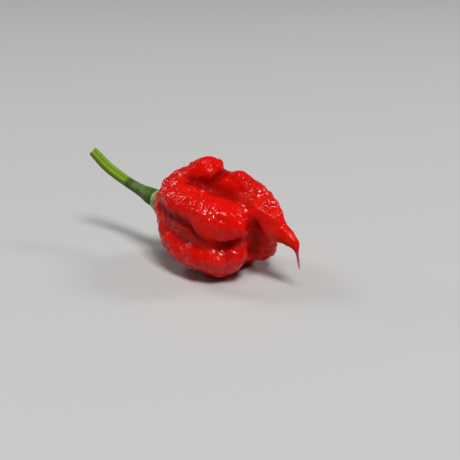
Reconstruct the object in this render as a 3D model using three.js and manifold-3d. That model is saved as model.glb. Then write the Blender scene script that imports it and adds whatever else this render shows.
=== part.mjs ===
// A wrinkled, round-shouldered chilli pepper lying on a surface, as picked: a red pod with blistered folds and a hooked
// tail, the small calyx that caps its neck, and the green stem with its cut end.
// Millimetres, +Z up. +X runs along the fruit from the stem's cut end to the tail. Z = 0 is the surface it lies on.
import * as THREE from "three";
import { mergeVertices } from "three/addons/utils/BufferGeometryUtils.js";
import Module from "manifold-3d";

const wasm = await Module();
wasm.setup();
const { Vector3 } = THREE;

// Driving sizes
const SKIN_CELL = 1.15; // grid step of the pod's skin
const FIELD_BOX = { low: [-26, -22, -3.5], high: [28, 24, 38] }; // clear space round the pod
const FOLD_BLEND = 1.1; // how softly two folds meet in the crease between them
const BLISTER = { size: 2.9, height: 0.6, reach: 0.75, seed: 11 }; // the small bumps all over the pod
const FITTING_GAP = 0.35; // clearance where the calyx sits on the pod and the stem on the calyx
const SPIKE_GRAIN = { sides: 12, steps: 22 }; // facets round and along the tail's tip
const CALYX = { radius: 3.15, teeth: 5, toothHeight: 0.2, top: 0.7, rounding: 0.35, sides: 40 };
const STEM = { ribs: 5, ribHeight: 0.09, sides: 20, steps: 30, chamfer: 0.25 }; // the chamfer is at the cut end

// The pod's folds. Each runs along its points, [x, y, z, radius], from the neck towards the tail.
const FOLDS = {
  core: [
    [-11, 1, 17.5, 8],
    [3, 1.5, 16, 9],
  ],
  neck: [[-17.6, -0.2, 19, 4.4]],
  upperCrest: [
    [-12.8, 2.2, 23.8, 5.1],
    [-5, 4, 25.3, 4.8],
    [1.5, 5.8, 25.3, 4.6],
    [6.5, 5.4, 24.9, 4.2],
    [11, 4.3, 23.5, 4.1],
    [14.3, 3.4, 21.5, 3.9],
    [16.4, 2.6, 19.3, 3.5],
  ],
  secondCrest: [
    [9.5, -1.2, 22.2, 2.8],
    [14, 0, 20.6, 2.8],
    [17.5, 0.9, 18.4, 2.8],
  ],
  tail: [
    [11, 3, 20.5, 5],
    [15.5, 2.2, 19, 4.2],
    [18.2, 1.5, 17.2, 3.3],
    [20.6, 1, 15.9, 2.7],
    [23.3, 0.2, 15.1, 2.1],
  ],
  tailRoot: [
    [12, 3.6, 17.5, 4.6],
    [10.4, 5.8, 13, 5],
  ],
  crown: [
    [-10.4, 1, 26.6, 3.9],
    [-6.1, 2.5, 29.5, 4.6],
  ],
  shoulder: [
    [-14.5, -2.6, 22, 4.6],
    [-8.5, -3.5, 24, 4.4],
  ],
  middleFold: [
    [-14.3, -4.7, 19.3, 4.4],
    [-8.5, -8.3, 20.6, 4.8],
    [-2.5, -10, 21, 5],
    [3, -9.8, 20.2, 4.7],
    [7, -8, 18.5, 4.4],
    [9.4, -5.7, 16.9, 4],
  ],
  hollow: [
    [-12, -3, 16, 5.6],
    [-5, -5.2, 15, 6],
  ],
  middleChin: [[2.2, -9.4, 17.2, 4.9]],
  lowerLeft: [
    [-14.3, -3.8, 14, 5],
    [-11, -7, 10.2, 5.2],
    [-4.5, -7.9, 7.4, 5.5],
    [2, -6.8, 6.6, 4.8],
  ],
  frontFoot: [
    [3.4, -3.9, 6, 5.8],
    [1.5, -8.1, 9, 4.2],
  ],
  frontHeel: [[8, -4.2, 9.4, 3.9]],
  backFoot: [
    [10.2, 7, 9, 4.7],
    [3.5, 9, 5.6, 5.2],
  ],
  backUpper: [
    [-13, 7, 21.5, 5.2],
    [-5, 11.5, 22, 5.3],
    [4, 11.5, 20.5, 4.9],
    [10, 8.5, 17.5, 4.5],
  ],
  backLower: [
    [-13.5, 6.5, 14, 5.2],
    [-6, 12, 12.5, 5.3],
    [3, 12.5, 12, 5.1],
    [9, 10, 12, 4.4],
  ],
  underside: [
    [-11, 2, 7.3, 5.4],
    [-8.5, 1.5, 4.95, 5.4],
  ],
  belly: [
    [-5, 3, 7.6, 6.2],
    [3, 2.8, 7.4, 6],
  ],
  frontRest: [[2.9, -3.6, 5.15, 5.4]],
  backRest: [[2.5, 9.5, 5.1, 5.4]],
};

// Smooth places on the pod, [x, y, z, reach], where the blisters fade away.
const CALM = [
  [3, -14, 16, 5],
  [12, 0, 14, 5],
  [26, 0, 14, 8],
  [3, -1, 27, 3],
];

// The tail's tapering tip and dry spike, [x, y, z, radius], from inside the pod's skin to the point.
const SPIKE = [
  [22.2, 0.6, 15.6, 1.9],
  [24.7, -0.1, 14.8, 1.95],
  [25.9, -0.2, 13.9, 1.5],
  [26.6, -0.2, 12.7, 0.8],
  [27, -0.25, 11.2, 0.5],
  [27.5, -0.3, 9, 0.38],
  [27.9, -0.4, 6.9, 0.2],
];

// The calyx's middle plane, square to its axis, which points out of the pod's neck.
const CALYX_CENTRE = new Vector3(-22.6, -1.2, 18.8);
const CALYX_AXIS = new Vector3(-0.97, 0.03, 0.2).normalize();

// Where the stem stands on the calyx, square to the same axis.
const STEM_FOOT = CALYX_CENTRE.clone().addScaledVector(CALYX_AXIS, CALYX.top + FITTING_GAP);
const STEM_FLARE = STEM_FOOT.clone().addScaledVector(CALYX_AXIS, 1.6);

// The stem's centre line from the calyx to the cut end, [x, y, z, diameter].
const STEM_LINE = [
  [...STEM_FOOT.toArray(), 5.6],
  [...STEM_FLARE.toArray(), 4.7],
  [-29, 0, 19.8, 3.75],
  [-35.9, 1.5, 21, 3.3],
  [-43.7, 1.5, 24.4, 3.4],
  [-49.8, 0.3, 29.8, 2.9],
];

// A fixed random number from 0 to 1 for a place on a whole-number grid.
function scatter(i, j, k, channel) {
  let h = Math.imul(i, 73856093) ^ Math.imul(j, 19349663) ^ Math.imul(k, 83492791);
  h ^= Math.imul(channel + BLISTER.seed, 40503);
  h = Math.imul(h ^ (h >>> 13), 1274126177);
  return ((h ^ (h >>> 16)) >>> 0) / 2 ** 32;
}

// Distance from a point to one straight stretch of a fold, less its tapering radius.
function stretchDistance(x, y, z, a, b) {
  const dx = b[0] - a[0];
  const dy = b[1] - a[1];
  const dz = b[2] - a[2];
  const along = ((x - a[0]) * dx + (y - a[1]) * dy + (z - a[2]) * dz) / (dx * dx + dy * dy + dz * dz || 1);
  const t = Math.min(1, Math.max(0, along));
  const away = Math.hypot(x - a[0] - t * dx, y - a[1] - t * dy, z - a[2] - t * dz);
  return away - a[3] - t * (b[3] - a[3]);
}

function foldDistance(x, y, z, fold) {
  let nearest = Infinity;
  for (let i = 0; i < fold.length; i++) {
    const next = fold[Math.min(i + 1, fold.length - 1)];
    nearest = Math.min(nearest, stretchDistance(x, y, z, fold[i], next));
  }
  return nearest;
}

// How far the blisters lift the skin: a low dome round each point of a scattered grid.
function blisterLift(x, y, z) {
  const cell = [x, y, z].map((c) => Math.floor(c / BLISTER.size));
  let nearest = Infinity;
  for (let i = cell[0] - 1; i <= cell[0] + 1; i++)
    for (let j = cell[1] - 1; j <= cell[1] + 1; j++)
      for (let k = cell[2] - 1; k <= cell[2] + 1; k++) {
        const dx = x / BLISTER.size - i - scatter(i, j, k, 0);
        const dy = y / BLISTER.size - j - scatter(i, j, k, 1);
        const dz = z / BLISTER.size - k - scatter(i, j, k, 2);
        nearest = Math.min(nearest, dx * dx + dy * dy + dz * dz);
      }
  let strength = BLISTER.height;
  for (const [cx, cy, cz, reach] of CALM) {
    strength *= THREE.MathUtils.smoothstep(Math.hypot(x - cx, y - cy, z - cz), reach * 0.6, reach * 1.4);
  }
  return strength * Math.max(-0.6, 0.7 - nearest / BLISTER.reach ** 2);
}

// Below zero inside the pod: the folds' distances in a smooth union, lifted by the blisters.
function podField(x, y, z) {
  let sum = 0;
  for (const fold of Object.values(FOLDS)) sum += Math.exp(-foldDistance(x, y, z, fold) / FOLD_BLEND);
  const distance = -FOLD_BLEND * Math.log(sum);
  return Math.abs(distance) < 2 ? distance - blisterLift(x, y, z) : distance;
}

// Turns one corner of each grid square whose diagonal corners differ, where the skin would touch itself on an edge.
function clearSaddles(values, step) {
  const faces = [0, 1, 2].map((axis) => [step[(axis + 1) % 3], step[(axis + 2) % 3]]);
  let turned = 1;
  while (turned) {
    turned = 0;
    for (let here = 0; here + step[1] + step[2] < values.length; here++)
      for (const [u, v] of faces) {
        const square = [here, here + u, here + u + v, here + v];
        const inside = square.map((n) => values[n] < 0);
        if (inside[0] !== inside[2] || inside[1] !== inside[3] || inside[0] === inside[1]) continue;
        square.sort((a, b) => Math.abs(values[a]) - Math.abs(values[b]));
        values[square[0]] = -values[square[0]] || -1e-6;
        turned++;
      }
  }
}

// The closed skin where a field is zero, as quads: one vertex in each cell of a grid that the skin passes through.
function skinOf(field, low, high, cell) {
  const count = low.map((l, i) => Math.ceil((high[i] - l) / cell) + 1);
  const step = [1, count[0], count[0] * count[1]];
  const values = new Float32Array(count[0] * count[1] * count[2]);
  for (let k = 0; k < count[2]; k++)
    for (let j = 0; j < count[1]; j++)
      for (let i = 0; i < count[0]; i++)
        values[i + j * step[1] + k * step[2]] = field(low[0] + i * cell, low[1] + j * cell, low[2] + k * cell);
  clearSaddles(values, step);
  const vertexOf = new Map();
  const positions = [];
  const corner = (c, axis) => (c >> axis) & 1;
  for (let k = 0; k < count[2] - 1; k++)
    for (let j = 0; j < count[1] - 1; j++)
      for (let i = 0; i < count[0] - 1; i++) {
        const here = i + j * step[1] + k * step[2];
        const at = (c) => values[here + corner(c, 0) + corner(c, 1) * step[1] + corner(c, 2) * step[2]];
        const sum = [0, 0, 0];
        let crossings = 0;
        for (let c = 0; c < 8; c++)
          for (let axis = 0; axis < 3; axis++) {
            const d = c | (1 << axis);
            if (d === c || at(c) < 0 === at(d) < 0) continue;
            const t = at(c) / (at(c) - at(d));
            for (let n = 0; n < 3; n++) sum[n] += corner(c, n) + (n === axis ? t : 0);
            crossings++;
          }
        if (!crossings) continue;
        vertexOf.set(here, positions.length / 3);
        const cellAt = [i, j, k];
        for (let n = 0; n < 3; n++) positions.push(low[n] + (cellAt[n] + sum[n] / crossings) * cell);
      }
  const quads = [];
  for (let k = 1; k < count[2] - 1; k++)
    for (let j = 1; j < count[1] - 1; j++)
      for (let i = 1; i < count[0] - 1; i++) {
        const here = i + j * step[1] + k * step[2];
        for (let axis = 0; axis < 3; axis++) {
          const inside = values[here] < 0;
          if (inside === values[here + step[axis]] < 0) continue;
          const u = step[(axis + 1) % 3];
          const v = step[(axis + 2) % 3];
          const around = [here, here - u, here - u - v, here - v].map((n) => vertexOf.get(n));
          quads.push(inside ? around : around.reverse());
        }
      }
  return { positions, quads };
}

// Draws each vertex along the field's slope until it lies on the skin, and keeps it above the surface underneath.
function settle(positions, field) {
  const h = 0.02;
  for (let pass = 0; pass < 3; pass++)
    for (let n = 0; n < positions.length; n += 3) {
      const [x, y, z] = positions.slice(n, n + 3);
      const f = field(x, y, z);
      const slope = [field(x + h, y, z) - f, field(x, y + h, z) - f, field(x, y, z + h) - f].map((d) => d / h);
      const scale = f / Math.max(0.25, slope[0] ** 2 + slope[1] ** 2 + slope[2] ** 2);
      for (let m = 0; m < 3; m++) positions[n + m] -= slope[m] * Math.min(0.4, Math.max(-0.4, scale));
    }
  for (let n = 2; n < positions.length; n += 3) positions[n] = Math.max(0, positions[n]);
}

// A geometry from quads, each split along its shorter diagonal.
function geometryOf({ positions, quads }) {
  const point = (n) => new Vector3().fromArray(positions, n * 3);
  const index = quads.flatMap(([a, b, c, d]) =>
    point(a).distanceTo(point(c)) < point(b).distanceTo(point(d)) ? [a, b, c, a, c, d] : [a, b, d, b, c, d],
  );
  return new THREE.BufferGeometry()
    .setAttribute("position", new THREE.Float32BufferAttribute(positions, 3))
    .setIndex(index);
}

// A closed body of rings, each a list of points, with both ends capped.
function lofted(rings) {
  const sides = rings[0].length;
  const positions = rings.flat().flatMap((p) => p.toArray());
  const index = [];
  for (let r = 0; r + 1 < rings.length; r++)
    for (let s = 0; s < sides; s++) {
      const a = r * sides + s;
      const b = r * sides + ((s + 1) % sides);
      index.push(a, b, b + sides, a, b + sides, a + sides);
    }
  const caps = [0, rings.length - 1];
  for (const r of caps) {
    const middle = rings[r].reduce((sum, p) => sum.add(p), new Vector3()).divideScalar(sides);
    const hub = positions.push(...middle.toArray()) / 3 - 1;
    for (let s = 0; s < sides; s++) {
      const a = r * sides + s;
      const b = r * sides + ((s + 1) % sides);
      index.push(...(r ? [hub, a, b] : [hub, b, a]));
    }
  }
  return new THREE.BufferGeometry()
    .setAttribute("position", new THREE.Float32BufferAttribute(positions, 3))
    .setIndex(index);
}

// Rings square to a line at even steps. radiusAt(t, angle, width) gives each point's distance from the line.
function ringsAlong(line, steps, sides, radiusAt) {
  const curve = new THREE.CatmullRomCurve3(line.map((p) => new Vector3(...p)));
  const widths = new THREE.SplineCurve(line.map((p, i) => new THREE.Vector2(i, p[3])));
  const frames = curve.computeFrenetFrames(steps);
  return Array.from({ length: steps + 1 }, (_, n) => {
    const t = curve.getUtoTmapping(n / steps);
    const centre = curve.getPoint(t);
    const width = widths.getPoint(t).y;
    return Array.from({ length: sides }, (_, s) => {
      const angle = (2 * Math.PI * s) / sides;
      const out = frames.normals[n].clone().multiplyScalar(Math.cos(angle));
      out.addScaledVector(frames.binormals[n], Math.sin(angle));
      return centre.clone().addScaledVector(out, radiusAt(n / steps, angle, width));
    });
  });
}

// A boolean body from a closed geometry, and back.
function solidOf(geometry) {
  const merged = mergeVertices(geometry, 1e-5);
  return new wasm.Manifold(
    new wasm.Mesh({
      numProp: 3,
      vertProperties: new Float32Array(merged.attributes.position.array),
      triVerts: new Uint32Array(merged.index.array),
    }),
  );
}

function geometryOfSolid(solid) {
  const mesh = solid.getMesh();
  return new THREE.BufferGeometry()
    .setAttribute("position", new THREE.Float32BufferAttribute(mesh.vertProperties, 3))
    .setIndex(new THREE.Uint32BufferAttribute(mesh.triVerts, 1));
}

function makePod() {
  const skin = skinOf(podField, FIELD_BOX.low, FIELD_BOX.high, SKIN_CELL);
  settle(skin.positions, podField);
  const spike = lofted(ringsAlong(SPIKE, SPIKE_GRAIN.steps, SPIKE_GRAIN.sides, (t, angle, radius) => radius));
  const pod = solidOf(geometryOf(skin)).add(solidOf(spike));
  return new THREE.Mesh(
    geometryOfSolid(pod),
    new THREE.MeshStandardMaterial({ color: 0xd01408, roughness: 0.3, metalness: 0 }),
  );
}

// How far out along the calyx's axis the pod's skin is, from a point on the calyx's middle plane.
function skinHeight(point) {
  const reach = 8;
  let height = reach;
  for (; height > -reach; height -= 0.05) {
    const p = point.clone().addScaledVector(CALYX_AXIS, height);
    if (podField(p.x, p.y, p.z) < 0) break;
  }
  return height;
}

// A thin cap whose underside follows the pod, with a shallowly toothed edge.
function makeCalyx() {
  const across = new Vector3(0, 1, 0).cross(CALYX_AXIS).normalize();
  const beside = CALYX_AXIS.clone().cross(across);
  const ring = (share, heightOf) =>
    Array.from({ length: CALYX.sides }, (_, s) => {
      const angle = (2 * Math.PI * s) / CALYX.sides;
      const radius = share * (CALYX.radius + CALYX.toothHeight * Math.cos(CALYX.teeth * angle));
      const point = CALYX_CENTRE.clone().addScaledVector(across, radius * Math.cos(angle));
      point.addScaledVector(beside, radius * Math.sin(angle));
      return point.addScaledVector(CALYX_AXIS, heightOf(point, share));
    });
  const under = (point) => skinHeight(point) + FITTING_GAP;
  const rings = [0.3, 0.6, 0.85, 0.97].map((share) => ring(share, under));
  rings.push(ring(1, (point) => (under(point) + CALYX.top) / 2));
  rings.push(ring(0.96, () => CALYX.top - CALYX.rounding));
  rings.push(ring(0.88, () => CALYX.top));
  return new THREE.Mesh(
    lofted(rings),
    new THREE.MeshStandardMaterial({ color: 0xb9bb66, roughness: 0.55, metalness: 0 }),
  );
}

function makeStem() {
  const ribbed = (t, angle, diameter) => {
    const chamfer = t === 1 ? STEM.chamfer : 0;
    return diameter / 2 + STEM.ribHeight * Math.cos(STEM.ribs * angle) - chamfer;
  };
  return new THREE.Mesh(
    lofted(ringsAlong(STEM_LINE, STEM.steps, STEM.sides, ribbed)),
    new THREE.MeshStandardMaterial({ color: 0x7ba12a, roughness: 0.5, metalness: 0 }),
  );
}

// Sets the whole pepper over the origin: the middle of its length and width, on the surface it lies on.
function centred(group) {
  const box = new THREE.Box3().setFromObject(group, true);
  const middle = box.getCenter(new Vector3());
  group.position.set(-middle.x, -middle.y, -box.min.z);
  return group;
}

const pepper = new THREE.Group();
const pieces = { pod: makePod(), calyx: makeCalyx(), stem: makeStem() };
for (const [name, mesh] of Object.entries(pieces)) {
  mesh.name = name;
  pepper.add(mesh);
}
export default centred(pepper);
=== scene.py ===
"""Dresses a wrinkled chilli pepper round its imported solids: a blistered pod, a calyx and a ribbed stem."""

from __future__ import annotations

import logging
import math
from bisect import bisect_left
from dataclasses import dataclass, field
from enum import Enum
from typing import Any, Union

import bmesh
import bpy
import numpy as np
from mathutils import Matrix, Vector
from mathutils.bvhtree import BVHTree


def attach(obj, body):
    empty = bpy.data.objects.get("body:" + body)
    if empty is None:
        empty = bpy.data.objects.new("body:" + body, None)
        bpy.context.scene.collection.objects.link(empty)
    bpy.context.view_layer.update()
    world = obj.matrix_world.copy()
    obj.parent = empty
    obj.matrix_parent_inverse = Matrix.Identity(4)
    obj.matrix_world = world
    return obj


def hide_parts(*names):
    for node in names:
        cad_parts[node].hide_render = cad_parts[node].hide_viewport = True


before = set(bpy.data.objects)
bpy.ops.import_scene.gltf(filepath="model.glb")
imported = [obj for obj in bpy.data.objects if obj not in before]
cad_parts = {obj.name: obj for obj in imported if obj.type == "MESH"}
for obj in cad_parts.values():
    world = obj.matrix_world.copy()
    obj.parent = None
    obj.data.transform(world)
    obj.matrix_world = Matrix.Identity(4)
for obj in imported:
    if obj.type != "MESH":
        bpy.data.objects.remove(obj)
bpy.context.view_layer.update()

log = logging.getLogger("pepper")

MM = 0.001
BODY = "root"
PICTURE_WIDTH = 460

Colour = tuple[float, float, float]
Span = tuple[float, float]
Value = Union["Wire", float, int, tuple, str]


# Node trees

# The sockets of a Mix node that mixes colours
MIX_FACTOR = 0
MIX_FIRST = 6
MIX_SECOND = 7
MIX_RESULT = 2


@dataclass(frozen=True)
class Wire:
    """One output of a node, with arithmetic that adds Math nodes to its tree."""

    graph: "Graph"
    socket: bpy.types.NodeSocket

    def __add__(self, other: Value) -> "Wire":
        """Adds."""
        return self.graph.math("ADD", self, other)

    __radd__ = __add__

    def __sub__(self, other: Value) -> "Wire":
        """Subtracts other from this."""
        return self.graph.math("SUBTRACT", self, other)

    def __rsub__(self, other: Value) -> "Wire":
        """Subtracts this from other."""
        return self.graph.math("SUBTRACT", other, self)

    def __mul__(self, other: Value) -> "Wire":
        """Multiplies."""
        return self.graph.math("MULTIPLY", self, other)

    __rmul__ = __mul__

    def __truediv__(self, other: Value) -> "Wire":
        """Divides this by other."""
        return self.graph.math("DIVIDE", self, other)

    def __rtruediv__(self, other: Value) -> "Wire":
        """Divides other by this."""
        return self.graph.math("DIVIDE", other, self)


def opaque(colour: Value) -> Value:
    """Gives a plain colour full opacity. A wire stays as it is."""
    return colour if isinstance(colour, Wire) else (*colour, 1)


class Graph:
    """Adds nodes to one node tree, a shader's or a Geometry Nodes group."""

    def __init__(self, tree: bpy.types.NodeTree) -> None:
        """Keeps the tree that nodes are added to."""
        self.tree = tree

    def node(
        self,
        kind: str,
        settings: dict[str, Any] | None = None,
        inputs: dict[Union[str, int], Value] | None = None,
    ) -> bpy.types.Node:
        """Adds a node.

        Args:
            kind: The node's Blender type.
            settings: Properties, set before its sockets.
            inputs: What its sockets hold, by name or number: wires are linked, anything else is set.

        Returns:
            The node.
        """
        made = self.tree.nodes.new(kind)
        for name, value in (settings or {}).items():
            setattr(made, name, value)
        for name, value in (inputs or {}).items():
            if isinstance(value, Wire):
                self.tree.links.new(value.socket, made.inputs[name])
            else:
                made.inputs[name].default_value = value
        return made

    def wire(self, node: bpy.types.Node, output: Union[str, int] = 0) -> Wire:
        """Gives one of a node's outputs as a wire."""
        return Wire(self, node.outputs[output])

    def math(self, operation: str, *values: Value) -> Wire:
        """Adds a Math node over one, two or three values."""
        made = self.node("ShaderNodeMath", {"operation": operation}, dict(enumerate(values)))
        return self.wire(made)

    def largest(self, first: Value, second: Value) -> Wire:
        """Gives the larger of two values."""
        return self.math("MAXIMUM", first, second)

    def fade(self, value: Value, start: float, end: float) -> Wire:
        """Turns a value into a share with soft ends.

        Args:
            value: The value.
            start: Where the share is 0. It may be the larger of the two.
            end: Where it is 1.

        Returns:
            The share, 0 to 1.
        """
        settings = {"interpolation_type": "SMOOTHSTEP"}
        inputs = {"Value": value, "From Min": start, "From Max": end}
        return self.wire(self.node("ShaderNodeMapRange", settings, inputs))

    def mix_colour(self, factor: Value, first: Value, second: Value) -> Wire:
        """Mixes two colours, each a wire or plain. The factor is the second's share."""
        inputs = {MIX_FACTOR: factor, MIX_FIRST: opaque(first), MIX_SECOND: opaque(second)}
        return self.wire(self.node("ShaderNodeMix", {"data_type": "RGBA"}, inputs), MIX_RESULT)

    def distance_to(self, position: Value, spot: tuple[float, float, float]) -> Wire:
        """Gives the distance from a position to a spot, both in metres."""
        made = self.node("ShaderNodeVectorMath", {"operation": "DISTANCE"}, {0: position, 1: spot})
        return self.wire(made, "Value")

    def attribute(self, name: str) -> Wire:
        """Reads one of the mesh's own numbers in a material."""
        return self.wire(self.node("ShaderNodeAttribute", {"attribute_name": name}), "Fac")

    def axes(self, position: Value) -> tuple[Wire, Wire, Wire]:
        """Splits a position into its three coordinates."""
        made = self.node("ShaderNodeSeparateXYZ", None, {0: position})
        return self.wire(made, 0), self.wire(made, 1), self.wire(made, 2)

    def cells(self, position: Value, size: Value, seed: tuple[float, float, float]) -> Wire:
        """Gives each point's distance from the middle of its scattered cell.

        Args:
            position: Where the pattern is read, in metres.
            size: The cells' size in metres.
            seed: How far the pattern is moved, which makes it another one.

        Returns:
            The distance, about 0 to 0.8, in cells.
        """
        moved = self.node("ShaderNodeVectorMath", {"operation": "ADD"}, {0: position, 1: seed})
        inputs = {"Vector": self.wire(moved), "Scale": 1 / size}
        return self.wire(self.node("ShaderNodeTexVoronoi", {"feature": "F1"}, inputs), "Distance")

    def bump(self, height: Value, strength: float, depth: float) -> Wire:
        """Adds a Bump node.

        Args:
            height: The pattern's height, about 0 to 1.
            strength: How much of the bump shows, 0 to 1.
            depth: How deep a height of 1 is, in metres.

        Returns:
            The normal.
        """
        inputs = {"Strength": strength, "Distance": depth, "Height": height}
        return self.wire(self.node("ShaderNodeBump", None, inputs))

    def noise(self, position: Value, size: float, detail: float = 2.0) -> Wire:
        """Gives soft noise from 0 to 1 with lumps of about a size in metres."""
        inputs = {"Vector": position, "Scale": 1 / size, "Detail": detail}
        return self.wire(self.node("ShaderNodeTexNoise", None, inputs), 0)


def fresh_material(name: str) -> tuple[bpy.types.Material, Graph]:
    """Makes a material with an empty node tree.

    Args:
        name: The material's name.

    Returns:
        The material, and a graph over its tree.
    """
    material = bpy.data.materials.new(name)
    material.use_nodes = True
    material.node_tree.nodes.clear()
    return material, Graph(material.node_tree)


def surface_from(graph: Graph, sockets: dict[Union[str, int], Value]) -> None:
    """Ends a material's tree in one Principled shader.

    Args:
        graph: The material's graph.
        sockets: The shader's inputs.
    """
    shader = graph.node("ShaderNodeBsdfPrincipled", None, sockets)
    graph.node("ShaderNodeOutputMaterial", None, {"Surface": graph.wire(shader)})


# Finishes


@dataclass(frozen=True)
class PodSkin:
    """Ripe red skin: waxy and glossy, with painted shade in its creases and between its blisters, browning to
    straw along the dry tip.
    """

    ripe: Colour = (0.64, 0.005, 0.002)
    lit: Colour = (0.74, 0.014, 0.004)
    # Painted shade colour for the creases and the hollows between blisters.
    shade_red: Colour = (0.23, 0.0015, 0.0008)
    spike_brown: Colour = (0.36, 0.05, 0.045)
    spike_straw: Colour = (0.6, 0.28, 0.2)
    spike_top: float = 13.2 * MM
    spike_end: float = 6.9 * MM
    spike_from: float = 36.5 * MM
    brown_drop: float = 1.8 * MM
    straw_drop: float = 2 * MM
    crease_shade: float = 0.85
    hollow_shade: float = 0.6
    crest_share: float = 0.8
    shade_edges: Span = (0.0, 0.9)
    lit_share: float = 0.5
    lit_clouds: Span = (0.45, 0.75)
    dull_clouds: Span = (0.4, 0.7)
    coated: Span = (0.3, 0.9)
    cloud_size: float = 9 * MM
    freckle_size: float = 0.9 * MM
    grain_size: float = 0.7 * MM
    pore_size: float = 0.3 * MM
    pore_depth: float = 0.1
    calm_grain: float = 0.15
    bump_depth: float = 0.065 * MM
    roughness: float = 0.15
    cloud_dulling: float = 0.1
    freckle_dulling: float = 0.07
    dry_dulling: float = 0.35
    crease_dulling: float = 0.25
    coat: float = 0.1
    blister_coat: float = 0.32

    def colour(self, graph: Graph, crease: Wire, cloud: Wire, dry: Wire, z: Wire) -> Wire:
        """Mixes the skin's colour, with painted shade in the creases and between the blisters' crests.

        Args:
            graph: The material's graph.
            crease: How deep in a crease a point is.
            cloud: Soft noise.
            dry: 1 on the dry spike.
            z: The height.

        Returns:
            The colour.
        """
        # Painted shade: darker red in the shaded creases and in the hollows between the blisters' crests.
        blister_shade = self.hollow_shade - self.crest_share * graph.attribute("crest")
        depth = graph.largest(crease * self.crease_shade, blister_shade)
        red = graph.mix_colour(graph.fade(depth, *self.shade_edges), self.ripe, self.shade_red)
        red = graph.mix_colour(graph.fade(cloud, *self.lit_clouds) * self.lit_share, red, self.lit)
        straw = graph.fade(z, self.spike_top - self.straw_drop, self.spike_end)
        return graph.mix_colour(dry, red, graph.mix_colour(straw, self.spike_brown, self.spike_straw))

    def material(self) -> bpy.types.Material:
        """Makes the material.

        Returns:
            The material. It reads the pod's own attributes crest, crease and rough.
        """
        material, graph = fresh_material("ripe_pod_skin")
        place = graph.wire(graph.node("ShaderNodeTexCoord"), "Object")
        crease, coarse = graph.attribute("crease"), graph.attribute("rough")
        x, _, z = graph.axes(place)
        cloud = graph.noise(place, self.cloud_size, 3.0)
        tipward = graph.fade(z, self.spike_top, self.spike_top - self.brown_drop)
        dry = graph.fade(x, self.spike_from - MM, self.spike_from) * tipward
        rough = self.roughness + self.cloud_dulling * graph.fade(cloud, *self.dull_clouds)
        rough = rough + self.freckle_dulling * graph.noise(place, self.freckle_size)
        rough = rough + self.dry_dulling * dry + self.crease_dulling * crease
        grain = graph.cells(place, self.grain_size, (0.3, 0.1, 0.2))
        pores = graph.cells(place, self.pore_size, (0.1, 0.5, 0.2))
        height = (1 - 2 * grain * grain) * (self.calm_grain + (1 - self.calm_grain) * coarse)
        height = height - self.pore_depth * pores
        coat = (self.coat + self.blister_coat * graph.fade(coarse, *self.coated)) * (1 - crease) * (1 - dry)
        surface_from(
            graph,
            {
                "Base Color": self.colour(graph, crease, cloud, dry, z),
                "Roughness": rough,
                "Normal": graph.bump(height, 0.9, self.bump_depth),
                "IOR": 1.46,
                "Specular IOR Level": 0.05,
                "Subsurface Weight": 0.12,
                "Subsurface Radius": (1.0, 0.12, 0.05),
                "Subsurface Scale": 0.9 * MM,
                "Coat Weight": coat,
                "Coat Roughness": 0.06,
            },
        )
        return material


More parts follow.
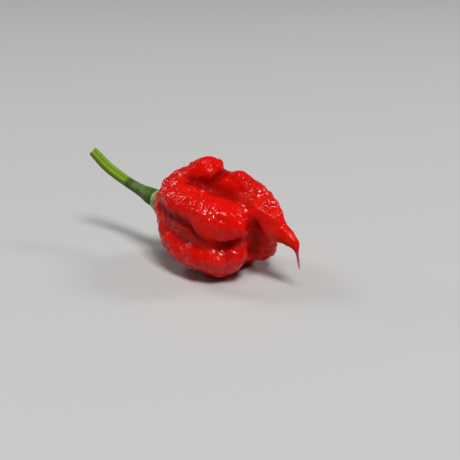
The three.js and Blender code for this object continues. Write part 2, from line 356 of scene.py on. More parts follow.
@dataclass(frozen=True)
class StemSkin:
    """A ribbed green stalk with a pale cut face: painted light near the cut; painted shadow near the calyx,
    bloomed with wax and with a painted greyish reflection; painted shade in its furrows.
    """

    # The greens: painted light near the cut and painted shadow near the calyx, which is bloomed with wax and
    # has a painted greyish reflection, and painted shade in the furrows between the ribs.
    bright: Colour = (0.15, 0.27, 0.006)
    bright_rib: Colour = (0.22, 0.33, 0.018)
    shaded_green: Colour = (0.035, 0.085, 0.006)
    bloom_and_sheen: Colour = (0.115, 0.175, 0.048)
    furrow_shade: Colour = (0.075, 0.15, 0.003)
    pith: Colour = (0.6, 0.6, 0.34)
    shadow_edge: float = 0.46
    change_wander: float = 0.08
    change_streaks: float = 0.05
    change_blur: Span = (-0.035, 0.03)
    ribs: int = 5
    rib_streaks: Span = (0.35, 0.7)
    furrow_edges: Span = (-0.1, -1.0)
    bloom_clouds: Span = (0.3, 0.62)
    bloom_from: Span = (0.02, 0.1)
    streaks_round: float = 7
    streaks_along: float = 5
    roughness: float = 0.5
    streak_dulling: float = 0.16
    cut_dulling: float = 0.2
    bump_depth: float = 0.06 * MM

    def colour(self, graph: Graph, turn: Wire, along: Wire, streak: Wire, cut: Wire) -> Wire:
        """Mixes the stalk's colour: painted light and shadow along it, and painted shade in its furrows.

        Args:
            graph: The material's graph.
            turn: How far round the stalk a point is, in radians.
            along: How far along it.
            streak: Noise drawn out along the stalk.
            cut: 1 on the cut face.

        Returns:
            The colour.
        """
        place = graph.wire(graph.node("ShaderNodeTexCoord"), "Object")
        # Painted light and shadow: lit green beyond a wavering line along the stalk, shaded green before it.
        edge = self.shadow_edge + self.change_wander * (graph.noise(place, 2 * MM) - 0.5)
        edge = edge + self.change_streaks * (streak - 0.5)
        painted_light_share = graph.fade(along - edge, *self.change_blur)
        upper = graph.mix_colour(graph.fade(streak, *self.rib_streaks), self.bright, self.bright_rib)
        # Painted shade in the furrows between the ribs.
        furrow_shade = graph.fade(graph.math("COSINE", turn * self.ribs), *self.furrow_edges)
        upper = graph.mix_colour(furrow_shade * (0.35 + 0.5 * streak), upper, self.furrow_shade)
        # Wax bloomed on the shaded part, with a painted greyish reflection.
        bloomed = graph.fade(graph.noise(place, 3 * MM), *self.bloom_clouds)
        bloomed = bloomed * graph.fade(along, *self.bloom_from) * (0.55 + 0.45 * streak)
        lower = graph.mix_colour(bloomed, self.shaded_green, self.bloom_and_sheen)
        return graph.mix_colour(cut, graph.mix_colour(painted_light_share, lower, upper), self.pith)

    def material(self) -> bpy.types.Material:
        """Makes the material.

        Returns:
            The material. It reads how far round and along the stem a point is from the piece's own UV map.
        """
        material, graph = fresh_material("green_stem_skin")
        around, along, _ = graph.axes(graph.wire(graph.node("ShaderNodeUVMap", {"uv_map": "stalk"})))
        turn = around * (2 * math.pi)
        east = graph.math("COSINE", turn) * self.streaks_round
        north = graph.math("SINE", turn) * self.streaks_round
        strands = graph.node("ShaderNodeCombineXYZ", None, {0: east, 1: north, 2: along * self.streaks_along})
        streak = graph.noise(graph.wire(strands), 1.0)
        cut = graph.fade(along, 1.0, 1.05)
        surface_from(
            graph,
            {
                "Base Color": self.colour(graph, turn, along, streak, cut),
                "Roughness": self.roughness + self.streak_dulling * streak + self.cut_dulling * cut,
                "Normal": graph.bump(streak, 0.35, self.bump_depth),
                "Specular IOR Level": 0.14,
                "Subsurface Weight": 0.08,
                "Subsurface Radius": (0.4, 0.8, 0.1),
                "Subsurface Scale": 0.6 * MM,
            },
        )
        return material


@dataclass(frozen=True)
class CalyxSkin:
    """The pale, slightly corky rim where the stem grips the pod."""

    pale: Colour = (0.42, 0.43, 0.16)
    middle: Colour = (0.2, 0.21, 0.035)
    green: Colour = (0.06, 0.11, 0.016)
    cork: Colour = (0.3, 0.26, 0.1)
    cork_spots: Span = (0.45, 0.7)
    pale_edges: Span = (0.2, 0.45)
    green_from: Span = (1.05, 1.35)
    mottle_size: float = 0.8 * MM
    roughness: float = 0.5
    mottle_dulling: float = 0.2
    bump_depth: float = 0.08 * MM

    def material(self) -> bpy.types.Material:
        """Makes the material.

        Returns:
            The material. It reads the attribute edge: 0 where the rim meets the pod, 1 at its top.
        """
        material, graph = fresh_material("pale_calyx_skin")
        edge = graph.attribute("edge")
        place = graph.wire(graph.node("ShaderNodeTexCoord"), "Object")
        mottle = graph.noise(place, self.mottle_size, 3.0)
        rim = graph.mix_colour(graph.fade(mottle, *self.cork_spots), self.pale, self.cork)
        bright = graph.fade(graph.math("ABSOLUTE", edge - 0.5), *self.pale_edges)
        band = graph.mix_colour(bright, self.middle, rim)
        surface_from(
            graph,
            {
                "Base Color": graph.mix_colour(graph.fade(edge, *self.green_from), band, self.green),
                "Roughness": self.roughness + self.mottle_dulling * mottle,
                "Normal": graph.bump(mottle, 0.4, self.bump_depth),
                "Subsurface Weight": 0.08,
                "Subsurface Radius": (0.6, 0.8, 0.2),
                "Subsurface Scale": 0.6 * MM,
            },
        )
        return material


# Meshes


def piece_from(name: str, mesh: bpy.types.Mesh, material: bpy.types.Material) -> bpy.types.Object:
    """Makes a smooth-shaded object at the origin from a mesh.

    Args:
        name: The piece's name.
        mesh: Its mesh, in metres, in the object's frame.
        material: Its one material.

    Returns:
        The object, in the scene.
    """
    mesh.name = name
    mesh.materials.clear()
    mesh.materials.append(material)
    mesh.polygons.foreach_set("use_smooth", [True] * len(mesh.polygons))
    piece = bpy.data.objects.new(name, mesh)
    bpy.context.scene.collection.objects.link(piece)
    return piece


def rings_mesh(name: str, rings: list[list[Vector]]) -> bpy.types.Mesh:
    """Makes a closed mesh over rings of equal length, with a fan at each end.

    Args:
        name: The mesh's name.
        rings: The rings in order, each turning the same way.

    Returns:
        The mesh, with its faces outwards.
    """
    sides = len(rings[0])
    points = [p for ring in rings for p in ring]
    faces = []
    for r in range(len(rings) - 1):
        for s in range(sides):
            a, b = r * sides + s, r * sides + (s + 1) % sides
            faces.append((a, b, b + sides, a + sides))
    for r in (0, len(rings) - 1):
        points.append(sum(rings[r], Vector()) / sides)
        hub = len(points) - 1
        for s in range(sides):
            a, b = r * sides + s, r * sides + (s + 1) % sides
            faces.append((hub, a, b) if r else (hub, b, a))
    mesh = bpy.data.meshes.new(name)
    mesh.from_pydata(points, [], faces)
    work = bmesh.new()
    work.from_mesh(mesh)
    bmesh.ops.recalc_face_normals(work, faces=work.faces)
    work.to_mesh(mesh)
    work.free()
    return mesh


def on_spline(values: tuple[Any, ...], t: float) -> Any:
    """Gives the point at t, 0 to 1, on a smooth line through evenly timed values.

    Args:
        values: Vectors or numbers.
        t: How far along.

    Returns:
        A vector or a number.
    """
    spot = min(max(t, 0.0), 1.0) * (len(values) - 1)
    i = min(int(spot), len(values) - 2)
    u = spot - i
    a, b = values[i], values[i + 1]
    before = values[i - 1] if i else a + (a - b)
    after = values[i + 2] if i + 2 < len(values) else b + (b - a)
    bend = 2 * a + (b - before) * u + (2 * before - 5 * a + 4 * b - after) * u**2
    return 0.5 * (bend + (3 * a - before - 3 * b + after) * u**3)


# The pod


@dataclass(frozen=True)
class Patch:
    """A place on the skin, and how far it reaches, both in metres."""

    spot: tuple[float, float, float]
    reach: float


@dataclass(frozen=True)
class Fold:
    """A line on the skin, in millimetres, along which it is raised, or sunk where the lift is below 0.

    A shaded one also gets painted shade, as a crease.
    """

    line: tuple[tuple[float, float, float], ...]
    width: float
    lift: float
    shaded: bool = False

    def share(self, points: np.ndarray) -> np.ndarray:
        """Gives how much of the lift each point has: 1 on the line, falling off over the width.

        Args:
            points: The points, one a row, in millimetres.

        Returns:
            One number a point, 0 to 1.
        """
        knots = np.array(self.line)
        if len(knots) == 1:
            knots = np.vstack((knots, knots + 0.01))
        nearest = np.full(len(points), np.inf)
        for start, end in zip(knots, knots[1:]):
            along = np.clip((points - start) @ (end - start) / ((end - start) @ (end - start)), 0, 1)
            away = points - start - along[:, None] * (end - start)
            nearest = np.minimum(nearest, np.einsum("ij,ij->i", away, away))
        return np.exp(-nearest / self.width**2)


UPPER_GROOVE = Fold(
    ((3.8, -5.5, 28.5), (7.9, -3.1, 26.9), (12.4, -2.0, 25.4), (17.4, -2.5, 25.2), (22.6, -3.4, 24.8)),
    width=2.0,
    lift=-1.1,
    shaded=True,
)
BUMP_NOTCH = Fold(
    ((9.4, 6.2, 30.3), (11.4, 3.8, 30.4), (10.8, 0.0, 29.5), (10.0, -2.0, 28.0)),
    width=1.3,
    lift=-0.95,
    shaded=True,
)
BUMP_CORNER = Fold(((8.8, 2.7, 32.5), (9.4, 0.9, 31.9)), width=1.5, lift=1.15)
LEFT_SHOULDER = Fold(((-5.0, -4.6, 26.8), (-3.0, -2.8, 28.4)), width=2.2, lift=0.7)
MIDDLE_ROLL = Fold(
    (
        (-1.0, -10.5, 25.0),
        (2.9, -11.3, 25.8),
        (8.0, -11.3, 26.2),
        (14.4, -10.6, 25.6),
        (18.7, -9.9, 23.6),
        (23.0, -9.0, 20.0),
    ),
    width=2.6,
    lift=0.8,
)
ROUND_BLISTER = Fold(((17.4, -9.6, 23.6),), width=1.3, lift=0.3)
LEFT_EDGE = Fold(
    ((-6.6, -9.2, 14.4), (-6.6, -9.4, 12.8), (-4.0, -11.2, 8.6), (-1.4, -11.6, 6.2)), width=2.0, lift=-0.65
)
LOWER_EDGE = Fold(((3.6, -12.1, 3.6), (6.5, -12.6, 3.0), (11.0, -11.2, 1.8)), width=2.3, lift=-1.05)
CHIN_EDGE = Fold(
    ((14.8, -9.8, 0.4), (18.0, -7.8, 0.7), (19.3, -3.8, 1.4), (19.2, -0.8, 2.2)), width=2.0, lift=-0.95
)
BACK_LOBE = Fold(((23.2, 4.4, 4.9), (24.8, 6.2, 5.8)), width=2.2, lift=1.1)
CREST_HUMP = Fold(((15.3, 5.5, 29.7),), width=1.8, lift=0.55)
CREST_DIP = Fold(((20.2, 5.4, 28.4),), width=1.3, lift=-0.4)
NECK_TOP = Fold(((-8.2, -6.2, 23.4), (-8.6, -2.5, 23.8)), width=1.9, lift=-0.8)
LEFT_HOLLOW = Fold(
    ((-3.5, -11.6, 20.0), (1.4, -14.5, 19.6), (6.1, -15.9, 19.6), (9.5, -16.3, 18.6)),
    width=2.3,
    lift=-1.0,
    shaded=True,
)
LOWER_CREASE = Fold(
    ((11.0, -16.0, 17.2), (14.1, -15.2, 14.9), (17.0, -12.5, 13.4), (20.1, -9.3, 13.2), (23.6, -9.0, 14.6)),
    width=1.5,
    lift=-0.9,
    shaded=True,
)
VALLEY = Fold(
    ((25.4, -4.9, 19.0), (25.2, -3.3, 15.6), (24.3, -0.9, 12.0), (21.8, 0.4, 7.5)),
    width=2.8,
    lift=-0.8,
    shaded=True,
)
UPPER_CREST = Fold(
    ((12.5, 3.3, 29.9), (17.3, 3.0, 29.3), (22.7, 2.6, 27.8), (27.5, 1.3, 25.0)), width=1.6, lift=0.4
)
CREST_GROOVE = Fold(
    ((17.9, -0.2, 27.1), (24.2, -1.6, 25.6), (28.9, -2.1, 23.1)), width=1.1, lift=-0.5, shaded=True
)
SECOND_CREST = Fold(((23.5, -3.7, 24.6), (26.0, -3.4, 23.5), (30.9, -2.7, 20.9)), width=1.4, lift=0.3)
TAIL_TOP = Fold(((33.2, -0.5, 17.6), (34.8, -0.9, 17.0), (36.0, -1.3, 16.2)), width=1.7, lift=0.6)
TAIL_SHOULDER = Fold(((28.0, 5.2, 23.6), (30.6, 4.0, 21.4), (31.6, 3.2, 19.6)), width=1.6, lift=-0.7)
TAIL_MIDDLE = Fold(((34.0, -0.6, 16.6), (36.4, -1.4, 14.5)), width=2.0, lift=0.42)
TAIL_END = Fold(((37.5, -1.6, 13.6),), width=0.9, lift=0.12)
TAIL_TIP = Fold(((38.05, -1.62, 11.9), (38.3, -1.65, 10.8)), width=0.9, lift=-0.14)
FRONT_LOBE = Fold(((11.0, -14.0, 8.4), (17.0, -12.0, 7.6), (21.5, -8.2, 8.0)), width=3.0, lift=1.5)
CREST_KNOBS = tuple(
    Fold((spot,), width=1.1, lift=0.35)
    for spot in ((15.0, 3.0, 29.9), (19.8, 3.2, 29.0), (24.0, 2.6, 27.4), (28.3, 1.0, 24.6))
)
FRONT_KNOBS = tuple(
    Fold((spot,), width, lift)
    for spot, width, lift in (
        ((15.3, -12.9, 10.8), 1.4, 0.4),
        ((20.6, -9.4, 11.4), 1.3, 0.5),
        ((23.0, -6.8, 10.4), 1.2, 0.4),
        ((10.2, -14.0, 10.8), 1.6, 0.35),
        ((16.5, -11.8, 6.8), 1.6, 0.35),
        ((3.7, -13.0, 13.2), 1.3, 0.3),
        ((-3.1, -11.8, 14.5), 1.2, 0.3),
        ((0.1, -13.2, 12.4), 1.0, 0.25),
    )
)


@dataclass
class Pod:
    """The fruit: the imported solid's folds, refined and deepened, and blistered but for its calm places."""

    node: str = "pod"
    weld: float = 0.004 * MM
    pair_angle: float = math.radians(40)
    refine_levels: int = 2
    join_from: float = 0.0325
    join_to: float = 0.0375
    join_above: float = 12.5 * MM
    join_passes: int = 12
    folds: tuple[Fold, ...] = (
        UPPER_GROOVE,
        BUMP_NOTCH,
        BUMP_CORNER,
        LEFT_SHOULDER,
        NECK_TOP,
        MIDDLE_ROLL,
        ROUND_BLISTER,
        LEFT_HOLLOW,
        LOWER_CREASE,
        VALLEY,
        UPPER_CREST,
        CREST_GROOVE,
        SECOND_CREST,
        TAIL_TOP,
        TAIL_SHOULDER,
        TAIL_MIDDLE,
        LEFT_EDGE,
        LOWER_EDGE,
        CHIN_EDGE,
        BACK_LOBE,
        CREST_HUMP,
        CREST_DIP,
        TAIL_END,
        TAIL_TIP,
        FRONT_LOBE,
        *FRONT_KNOBS,
        *CREST_KNOBS,
    )
    blister_size: float = 2.3 * MM
    blister_height: float = 0.2 * MM
    blister_middle: float = 0.5
    pimple_size: float = 1.3 * MM
    pimple_height: float = 0.19 * MM
    pimple_middle: float = 0.45
    dome_spread: float = 0.42
    drift_size: float = 9 * MM
    drift_edges: Span = (0.4, 0.58)
    drift_roughness: float = 0.85
    rough_edges: Span = (0.55, 1.25)
    calm_edges: Span = (0.6, 1.5)
    least_roughness: float = 0.3
    crease_calm: float = 0.8
    least_crest: float = 0.35
    crest_blisters: float = 0.55
    calm_crest: float = 0.3
    floor_fade: float = 0.8 * MM
    grounded: float = 3.0 * MM
    tail_from: float = 0.029
    tail_to: float = 0.036
    rough_patches: tuple[Patch, ...] = (
        Patch((-0.0085, -0.0055, 0.021), 0.013),
        Patch((0.013, -0.0145, 0.024), 0.007),
        Patch((0.0235, 0.002, 0.026), 0.010),
        Patch((0.0015, -0.0125, 0.008), 0.012),
        Patch((0.018, -0.011, 0.009), 0.007),
    )
    calm_patches: tuple[Patch, ...] = (
        Patch((0.0142, -0.0165, 0.0165), 0.0048),
        Patch((0.0225, -0.0035, 0.0145), 0.0045),
        Patch((0.0145, -0.002, 0.0265), 0.0035),
        Patch((0.0075, 0.0005, 0.0325), 0.004),
    )

    def skin_mesh(self) -> bpy.types.Mesh:
        """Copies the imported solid's mesh, welds it, pairs its triangles and evens out the tail's end.

        Returns:
            A closed mesh, mostly of quads.
        """
        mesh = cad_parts[self.node].data.copy()
        work = bmesh.new()
        work.from_mesh(mesh)
        bmesh.ops.remove_doubles(work, verts=work.verts, dist=self.weld)
        bmesh.ops.dissolve_degenerate(work, edges=work.edges, dist=self.weld)
        limits = {"angle_face_threshold": self.pair_angle, "angle_shape_threshold": self.pair_angle}
        bmesh.ops.join_triangles(work, faces=work.faces, **limits)
        seam = [v for v in work.verts if self.join_from < v.co.x < self.join_to and v.co.z > self.join_above]
        every_axis = {"use_axis_x": True, "use_axis_y": True, "use_axis_z": True}
        for _ in range(self.join_passes):
            bmesh.ops.smooth_vert(work, verts=seam, factor=0.5, **every_axis)
        bmesh.ops.recalc_face_normals(work, faces=work.faces)
        work.to_mesh(mesh)
        work.free()
        return mesh

    def deepen(self, mesh: bpy.types.Mesh) -> None:
        """Raises and sinks the skin along the folds, and keeps as crease how far each point is into a shaded
        fold, which the skin's material darkens as painted shade.

        Args:
            mesh: The refined skin, changed in place.
        """
        points = np.empty(len(mesh.vertices) * 3)
        mesh.vertices.foreach_get("co", points)
        points = points.reshape(-1, 3)
        normals = np.empty(len(mesh.vertices) * 3)
        mesh.vertex_normals.foreach_get("vector", normals)
        lift = np.zeros(len(points))
        crease = np.zeros(len(points))
        for fold in self.folds:
            share = fold.share(points / MM)
            lift += share * fold.lift
            if fold.shaded:
                crease = np.maximum(crease, share * min(1.0, -fold.lift))
        lift = np.where(lift > 0, lift * np.clip(points[:, 2] / self.grounded, 0, 1), lift)
        points += lift[:, None] * MM * normals.reshape(-1, 3)
        mesh.vertices.foreach_set("co", points.ravel())
        kept = mesh.attributes.new("crease", "FLOAT", "POINT")
        kept.data.foreach_set("value", crease)
        mesh.update()

    def roughness(self, graph: Graph, place: Wire) -> Wire:
        """Gives how strongly the skin is blistered.

        Args:
            graph: The relief's graph.
            place: The position on the skin.

        Returns:
            The share of the blisters' height: 0 on the tail and at the floor, and little where a crease is
            deepest.
        """
        rough: Wire | float = 0.0
        for patch in self.rough_patches:
            start, end = (edge * patch.reach for edge in self.rough_edges)
            rough = graph.largest(rough, 1 - graph.fade(graph.distance_to(place, patch.spot), start, end))
        drift = graph.fade(graph.noise(place, self.drift_size), *self.drift_edges)
        rough = graph.largest(rough, drift * self.drift_roughness)
        for patch in self.calm_patches:
            start, end = (edge * patch.reach for edge in self.calm_edges)
            rough = rough * graph.fade(graph.distance_to(place, patch.spot), start, end)
        rough = self.least_roughness + (1 - self.least_roughness) * rough
        x, _, z = graph.axes(place)
        body = 1 - graph.fade(x, self.tail_from, self.tail_to)
        lifted = graph.fade(z, 0.1 * MM, self.floor_fade)
        sunk = graph.node("GeometryNodeInputNamedAttribute", {"data_type": "FLOAT"}, {"Name": "crease"})
        return rough * (1 - self.crease_calm * graph.wire(sunk, "Attribute")) * body * lifted

    def relief_tree(self) -> bpy.types.NodeTree:
        """Builds the Geometry Nodes group that raises the skin's relief along its normals.

        Returns:
            The group. Its named inputs are the sizes and heights of the two bumps and the skin's material.
        """
        tree = bpy.data.node_groups.new("skin_relief", "GeometryNodeTree")
        graph = Graph(tree)
        face = tree.interface
        face.new_socket("Geometry", in_out="INPUT", socket_type="NodeSocketGeometry")
        for title in ("Blister", "Pimple"):
            face.new_socket(f"{title} size", in_out="INPUT", socket_type="NodeSocketFloat")
            face.new_socket(f"{title} height", in_out="INPUT", socket_type="NodeSocketFloat")
        face.new_socket("Skin", in_out="INPUT", socket_type="NodeSocketMaterial")
        face.new_socket("Geometry", in_out="OUTPUT", socket_type="NodeSocketGeometry")
        given = graph.node("NodeGroupInput")
        place = graph.wire(graph.node("GeometryNodeInputPosition"))
        normal = graph.wire(graph.node("GeometryNodeInputNormal"))
        rough = self.roughness(graph, place)

        dome: dict[str, Wire] = {}
        height: Wire | float = 0.0
        kinds = (("Blister", self.blister_middle), ("Pimple", self.pimple_middle))
        for number, (title, middle) in enumerate(kinds):
            seed = (0.013 * number + 0.002, 0.007 * number, 0.004 * number)
            away = graph.cells(place, graph.wire(given, f"{title} size"), seed)
            dome[title] = graph.largest(0.0, 1 - away * away / self.dome_spread)
            height = height + (dome[title] - middle) * graph.wire(given, f"{title} height")
        outwards = {0: normal, "Scale": height * rough}
        lift = graph.node("ShaderNodeVectorMath", {"operation": "SCALE"}, outwards)
        # The crest is low in the hollows between blisters, which the skin's material darkens as painted
        # shade.
        crest = self.crest_blisters * dome["Blister"] + (1 - self.crest_blisters) * dome["Pimple"]
        crest = self.least_crest + (1 - self.least_crest) * crest * rough + self.calm_crest * (1 - rough)

        skin = graph.wire(given, "Geometry")
        number_each = {"data_type": "FLOAT", "domain": "POINT"}
        for name, value in (("crest", crest), ("rough", rough)):
            inputs = {"Geometry": skin, "Name": name, "Value": value}
            skin = graph.wire(graph.node("GeometryNodeStoreNamedAttribute", number_each, inputs))
        raised = {"Geometry": skin, "Offset": graph.wire(lift)}
        skin = graph.wire(graph.node("GeometryNodeSetPosition", None, raised))
        skin = graph.wire(graph.node("GeometryNodeRealizeInstances", None, {"Geometry": skin}))
        dressed = {"Geometry": skin, "Material": graph.wire(given, "Skin")}
        skin = graph.wire(graph.node("GeometryNodeSetMaterial", None, dressed))
        graph.node("NodeGroupOutput", None, {"Geometry": skin})
        return tree

    def build(self, skin: bpy.types.Material) -> bpy.types.Object:
        """Makes the dressed pod in place of its solid.

        Args:
            skin: Its material.

        Returns:
            The pod, riding on the object's body.
        """
        piece = piece_from("pod_skin", self.skin_mesh(), skin)
        refine = piece.modifiers.new("refine", "SUBSURF")
        refine.levels = refine.render_levels = self.refine_levels
        settle(piece)
        self.deepen(piece.data)
        relief = piece.modifiers.new("relief", "NODES")
        relief.node_group = self.relief_tree()
        wanted = {
            "Blister size": self.blister_size,
            "Blister height": self.blister_height,
            "Pimple size": self.pimple_size,
            "Pimple height": self.pimple_height,
            "Skin": skin,
        }
        for item in relief.node_group.interface.items_tree:
            if item.in_out == "INPUT" and item.name in wanted:
                relief[item.identifier] = wanted[item.name]
        settle(piece)
        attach(piece, BODY)
        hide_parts(self.node)
        return piece


def settle(piece: bpy.types.Object) -> None:
    """Turns a piece's modifiers into its plain mesh.

    Args:
        piece: The piece, changed in place.
    """
    shown = piece.evaluated_get(bpy.context.evaluated_depsgraph_get())
    mesh = bpy.data.meshes.new_from_object(shown)
    piece.modifiers.clear()
    piece.data = mesh
    mesh.polygons.foreach_set("use_smooth", [True] * len(mesh.polygons))


# The stem


@dataclass(frozen=True)
class Station:
    """A place on the stalk: its centre and width in millimetres, its directions, and how far along it is."""

    centre: Vector
    ahead: Vector
    side: Vector
    width: float
    along: float


@dataclass
class Stem:
    """The curved stalk: five soft ribs, fine strands, a foot flared onto the calyx and a pale cut face."""

    node: str = "stem"
    knots: tuple[Vector, ...] = (
        Vector((-11.7, -2.58, 18.9)),
        Vector((-13.94, -2.51, 19.38)),
        Vector((-17.75, -1.39, 19.8)),
        Vector((-24.65, 0.11, 21.0)),
        Vector((-32.45, 0.11, 24.4)),
        Vector((-38.55, -1.09, 29.8)),
    )
    widths: tuple[float, ...] = (5.6, 5.05, 3.85, 3.3, 3.4, 2.9)
    samples: int = 1000
    sample_window: int = 5
    steps: int = 150
    sides: int = 90
    ribs: int = 5
    rib_height: float = 0.15
    strands: int = 23
    strand_height: float = 0.026
    strand_sway: float = 1.3
    sway_rate: float = 9
    wander_height: float = 0.03
    foot_shares: tuple[float, ...] = (0.4, 0.8)
    bevel: float = 0.3
    bevel_steps: int = 5
    pith_depth: float = 0.12
    cut_mark: float = 1.1
    cut_slant: float = 0.42
    cut_way: Vector = field(default_factory=lambda: Vector((0.505, -0.778, 0.375)))

    def stations(self) -> list[Station]:
        """Gives evenly spaced places along the centre line, whose directions don't twist along the way.

        Returns:
            The places, from the calyx to the cut.
        """
        fine = [n / self.samples for n in range(self.samples + 1)]
        line = [on_spline(self.knots, t) for t in fine]
        lengths = [0.0]
        for before, after in zip(line, line[1:]):
            lengths.append(lengths[-1] + (after - before).length)
        side = Vector((0, 0, 1))
        found = []
        for n in range(self.steps + 1):
            along = n / self.steps
            i = min(bisect_left(lengths, along * lengths[-1]), self.samples)
            onward = line[min(i + self.sample_window, self.samples)]
            ahead = (onward - line[max(i - self.sample_window, 0)]).normalized()
            side = (side - side.dot(ahead) * ahead).normalized()
            found.append(Station(line[i], ahead, side, on_spline(self.widths, fine[i]), along))
        return found

    def ring(self, at: Station, share: float = 1.0, out: float = 0.0) -> list[Vector]:
        """Gives one ring of the stalk in metres.

        Args:
            at: Where the ring is.
            share: Its size beside the full width there.
            out: How far it is moved along the stalk, in millimetres.

        Returns:
            The ring's points.
        """
        other = at.ahead.cross(at.side)
        end = max(0.0, 1 - (1 - at.along) * self.steps / self.bevel_steps)
        half = at.width / 2 - self.bevel * end**2
        ring = []
        for s in range(self.sides):
            angle = 2 * math.pi * s / self.sides
            sway = self.strand_sway * math.sin(self.sway_rate * at.along)
            strand = math.sin(self.strands * angle + sway)
            wander = math.sin(3 * angle + 14 * at.along) * math.sin(5 * at.along + 1)
            radius = half + self.rib_height * math.cos(self.ribs * angle) * (1 - 0.5 * end)
            radius = share * (radius + self.strand_height * strand + self.wander_height * wander)
            across = radius * (math.cos(angle) * at.side + math.sin(angle) * other)
            slant = self.cut_slant * end * across.dot(self.cut_way)
            ring.append((at.centre + across + (out - slant) * at.ahead) * MM)
        return ring

    def lay_out(self, mesh: bpy.types.Mesh, along: list[float]) -> None:
        """Gives the stalk a UV map: round it, 0 to 1 without a jump in any face, and along it.

        Args:
            mesh: The stalk's mesh, changed in place.
            along: How far along each ring is. Above 1 is the cut face.
        """
        layer = mesh.uv_layers.new(name="stalk")
        hubs = len(along) * self.sides
        for face in mesh.polygons:
            turns = [v % self.sides for v in face.vertices if v < hubs]
            crosses = max(turns) - min(turns) > 1
            for loop, vertex in zip(face.loop_indices, face.vertices):
                turn = vertex % self.sides if vertex < hubs else turns[0]
                if crosses and turn == 0:
                    turn = self.sides
                ring = vertex // self.sides if vertex < hubs else (0 if vertex == hubs else -1)
                layer.data[loop].uv = (turn / self.sides, along[ring])

    def build(self, skin: bpy.types.Material) -> bpy.types.Object:
        """Makes the dressed stem in place of its solid.

        Args:
            skin: Its material.

        Returns:
            The stem, riding on the object's body.
        """
        stations = self.stations()
        first, last = stations[0], stations[-1]
        foot = [self.ring(first, share) for share in self.foot_shares]
        sunk = -self.pith_depth
        face = ((0.93, 0.02), (0.8, 0.3 * sunk), (0.66, 0.1 * sunk), (0.5, 0.9 * sunk), (0.2, sunk))
        cut = [self.ring(last, share, out) for share, out in face]
        mesh = rings_mesh("stem_stalk", [*foot, *(self.ring(at) for at in stations), *cut])
        along = [0.0] * len(foot) + [at.along for at in stations] + [self.cut_mark] * len(cut)
        self.lay_out(mesh, along)
        piece = piece_from("stem_stalk", mesh, skin)
        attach(piece, BODY)
        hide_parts(self.node)
        return piece


# The calyx


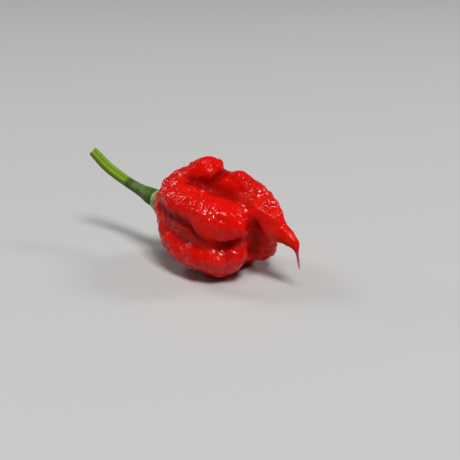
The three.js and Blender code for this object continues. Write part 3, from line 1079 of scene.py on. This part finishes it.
@dataclass
class Calyx:
    """The thin cap on the pod's neck: pressed onto the skin, with short teeth round a thick pale rim."""

    node: str = "calyx"
    centre: Vector = field(default_factory=lambda: Vector((-11.35, -2.59, 18.8)))
    axis: Vector = field(default_factory=lambda: Vector((-0.97, 0.03, 0.2)).normalized())
    radius: float = 3.15
    foot_radius: float = 2.5
    foot_height: float = 0.7
    rim_thickness: float = 1.15
    wedge: float = 0.42
    sunk: float = 0.12
    teeth: int = 5
    tooth_length: float = 0.5
    tooth_rise: float = 0.3
    first_tooth: float = 0.73
    long_tooth: float = 1.0
    long_tooth_angle: float = -0.28
    long_tooth_width: float = 0.3
    notch_depth: float = 0.2
    sides: int = 160
    under: tuple[float, ...] = (0.25, 0.5, 0.7, 0.85, 0.94, 0.985)
    rim: tuple[Span, ...] = (
        (1.0, 0.1),
        (1.02, 0.22),
        (1.025, 0.4),
        (1.02, 0.6),
        (1.005, 0.78),
        (0.98, 0.91),
        (0.95, 0.98),
    )
    top: tuple[float, ...] = (0.92, 0.88, 0.82, 0.75, 0.66, 0.5, 0.3)
    edge_rate: float = 2.5
    cast_from: float = 6
    cast_length: float = 14
    height_missed: float = -1.5

    def tooth(self, angle: float) -> float:
        """Gives how far into a tooth an angle is: 0 in the notch between two teeth, 1 in a tooth's middle."""
        return abs(math.cos(self.teeth * (angle - self.first_tooth) / 2)) ** 0.6

    def reach(self, angle: float) -> float:
        """Gives how far the rim goes out from the axis.

        Args:
            angle: The angle round the axis, in radians.

        Returns:
            The distance in millimetres.
        """
        turn = (angle - self.long_tooth_angle + math.pi) % (2 * math.pi) - math.pi
        long_one = self.long_tooth * math.exp(-((turn / self.long_tooth_width) ** 2))
        wander = 0.05 * math.sin(2 * angle + 0.8) + 0.04 * math.sin(8 * angle)
        length = self.tooth_length * (1 + 0.5 * math.cos(angle - self.first_tooth))
        return self.radius - self.notch_depth + self.tooth(angle) * length + long_one + wander

    def skin_height(self, pod_tree: BVHTree, out: Vector) -> float:
        """Gives the pod's height along the axis beside the calyx's centre.

        Args:
            pod_tree: The pod's faces.
            out: The offset from the axis, in millimetres.

        Returns:
            The height over the centre, in millimetres.
        """
        start = (self.centre + out + self.cast_from * self.axis) * MM
        hit = pod_tree.ray_cast(start, -self.axis, self.cast_length * MM)[0]
        return (hit / MM - self.centre).dot(self.axis) if hit else self.height_missed

    def column(self, pod_tree: BVHTree, angle: float) -> list[Vector]:
        """Gives the cap's points at one angle, from under the pod's skin, over the rim and in to the stem.

        Args:
            pod_tree: The pod's faces.
            angle: The angle round the axis, in radians.

        Returns:
            One point for each ring, in metres.
        """
        down = self.axis.cross(Vector((0, 1, 0))).normalized()
        way = math.cos(angle) * down + math.sin(angle) * self.axis.cross(down)
        reach = self.reach(angle)
        lean = self.wedge * math.cos(angle - self.first_tooth)
        thick = self.rim_thickness + (self.tooth(angle) - 1) * self.tooth_rise + lean
        points = []
        for share, part in [*((share, 0.0) for share in self.under), *self.rim]:
            height = self.skin_height(pod_tree, share * reach * way) - self.sunk + part * thick
            points.append((share, height))
        for share in self.top:
            height = self.skin_height(pod_tree, share * reach * way) + thick - self.sunk
            close = (share * reach - self.foot_radius) / (reach - self.foot_radius)
            close = min(1.0, max(0.0, close))
            points.append((share, close * height + (1 - close) * (self.foot_height + lean * share)))
        return [(self.centre + share * reach * way + height * self.axis) * MM for share, height in points]

    def build(self, pod: bpy.types.Object, skin: bpy.types.Material) -> bpy.types.Object:
        """Makes the dressed calyx in place of its solid.

        Args:
            pod: The finished pod, which the calyx is pressed onto.
            skin: Its material.

        Returns:
            The calyx, riding on the object's body.
        """
        pod_tree = BVHTree.FromObject(pod, bpy.context.evaluated_depsgraph_get())
        columns = [self.column(pod_tree, 2 * math.pi * s / self.sides) for s in range(self.sides)]
        mesh = rings_mesh("calyx_cap", [list(ring) for ring in zip(*columns)])
        marks = [0.0 for _ in self.under] + [part for _, part in self.rim]
        marks += [1 + self.edge_rate * (self.rim[-1][0] - share) for share in self.top]
        edges = [mark for mark in marks for _ in range(self.sides)]
        attribute = mesh.attributes.new("edge", "FLOAT", "POINT")
        attribute.data.foreach_set("value", [*edges, 0.0, 0.0])
        piece = piece_from("calyx_cap", mesh, skin)
        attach(piece, BODY)
        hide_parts(self.node)
        return piece


# The studio


class Softness(Enum):
    """A lamp's side beside its distance, which sets how broad its highlights and how soft its shadows are."""

    SMALL = 0.14
    NARROW = 0.26


@dataclass(frozen=True)
class Lamp:
    """A square soft light that faces the pepper from an azimuth and an elevation in degrees."""

    name: str
    azimuth: float
    elevation: float
    power: float
    softness: Softness
    distance: float = 2.5

    def place(self, target: Vector) -> None:
        """Puts the lamp in the scene, facing the target.

        Args:
            target: The point, in metres.
        """
        light = bpy.data.lights.new(self.name, "AREA")
        light.energy = self.power
        light.size = self.softness.value * self.distance
        lamp = bpy.data.objects.new(self.name, light)
        put_facing(lamp, target, direction(self.azimuth, self.elevation), self.distance)


def direction(azimuth: float, elevation: float) -> Vector:
    """Gives the direction from the pepper to a viewer at an azimuth and an elevation in degrees."""
    a, e = math.radians(azimuth), math.radians(elevation)
    return Vector((math.sin(a) * math.cos(e), -math.cos(a) * math.cos(e), math.sin(e)))


def put_facing(watcher: bpy.types.Object, target: Vector, back: Vector, distance: float) -> None:
    """Puts a lamp or the camera in the scene, facing a target.

    Args:
        watcher: The lamp or the camera.
        target: What it faces, in metres.
        back: The direction from the target to it.
        distance: How far away it is, in metres.
    """
    watcher.location = target + back * distance
    watcher.rotation_mode = "QUATERNION"
    watcher.rotation_quaternion = (-back).to_track_quat("-Z", "Y")
    bpy.context.scene.collection.objects.link(watcher)


@dataclass
class Studio:
    """The camera at the photograph's angle, a plain pale floor and soft lamps."""

    azimuth: float = 33.0
    elevation: float = 22.0
    distance: float = 0.237
    focal_pixels: float = 790.0
    nearest: float = 0.01
    aim: Vector = field(default_factory=lambda: Vector((0.01481, -0.00082, 0.01339)))
    lamp_target: Vector = field(default_factory=lambda: Vector((0.01, 0.0, 0.016)))
    floor_size: float = 8.0
    floor_colour: Colour = (0.5, 0.497, 0.49)
    sky: Colour = (0.9, 0.92, 0.95)
    sky_strength: float = 0.07
    lamps: tuple[Lamp, ...] = (
        Lamp("key", 56, 60, 53.0, Softness.NARROW),
        Lamp("left_fill", -88, 44, 11.0, Softness.NARROW),
        Lamp("glint", 16, 74, 6.0, Softness.SMALL),
        Lamp("side_glint", -82, 20, 4.0, Softness.SMALL),
        Lamp("back", 140, 42, 15.0, Softness.NARROW),
    )

    def place_camera(self) -> None:
        """Makes the camera, with the lens that the photograph's view needs."""
        camera = bpy.data.objects.new("camera", bpy.data.cameras.new("camera"))
        camera.data.lens = camera.data.sensor_width * self.focal_pixels / PICTURE_WIDTH
        camera.data.clip_start = self.nearest
        put_facing(camera, self.aim, direction(self.azimuth, self.elevation), self.distance)
        bpy.context.scene.camera = camera

    def lay_floor(self) -> None:
        """Makes the pale floor."""
        bpy.ops.mesh.primitive_plane_add(size=self.floor_size)
        floor = bpy.context.object
        floor.name = "floor"
        material, graph = fresh_material("pale_floor")
        surface_from(graph, {"Base Color": opaque(self.floor_colour), "Roughness": 0.6})
        floor.data.materials.append(material)

    def hang_sky(self) -> None:
        """Makes the even light from all round."""
        world = bpy.data.worlds.new("sky")
        world.use_nodes = True
        background = world.node_tree.nodes["Background"]
        background.inputs["Color"].default_value = opaque(self.sky)
        background.inputs["Strength"].default_value = self.sky_strength
        bpy.context.scene.world = world

    def build(self) -> None:
        """Makes the camera, the floor, the sky and the lamps."""
        bpy.context.scene.view_settings.view_transform = "Standard"
        self.place_camera()
        self.lay_floor()
        self.hang_sky()
        for lamp in self.lamps:
            lamp.place(self.lamp_target)


def main() -> None:
    """Builds the studio and the pepper's pieces in order, and reports each piece."""
    logging.basicConfig(level=logging.INFO, format="%(name)s: %(message)s")
    Studio().build()
    pod = Pod().build(PodSkin().material())
    calyx = Calyx().build(pod, CalyxSkin().material())
    stem = Stem().build(StemSkin().material())
    for piece in (pod, calyx, stem):
        log.info("%s has %d faces", piece.name, len(piece.data.polygons))


if __name__ == "__main__":
    main()
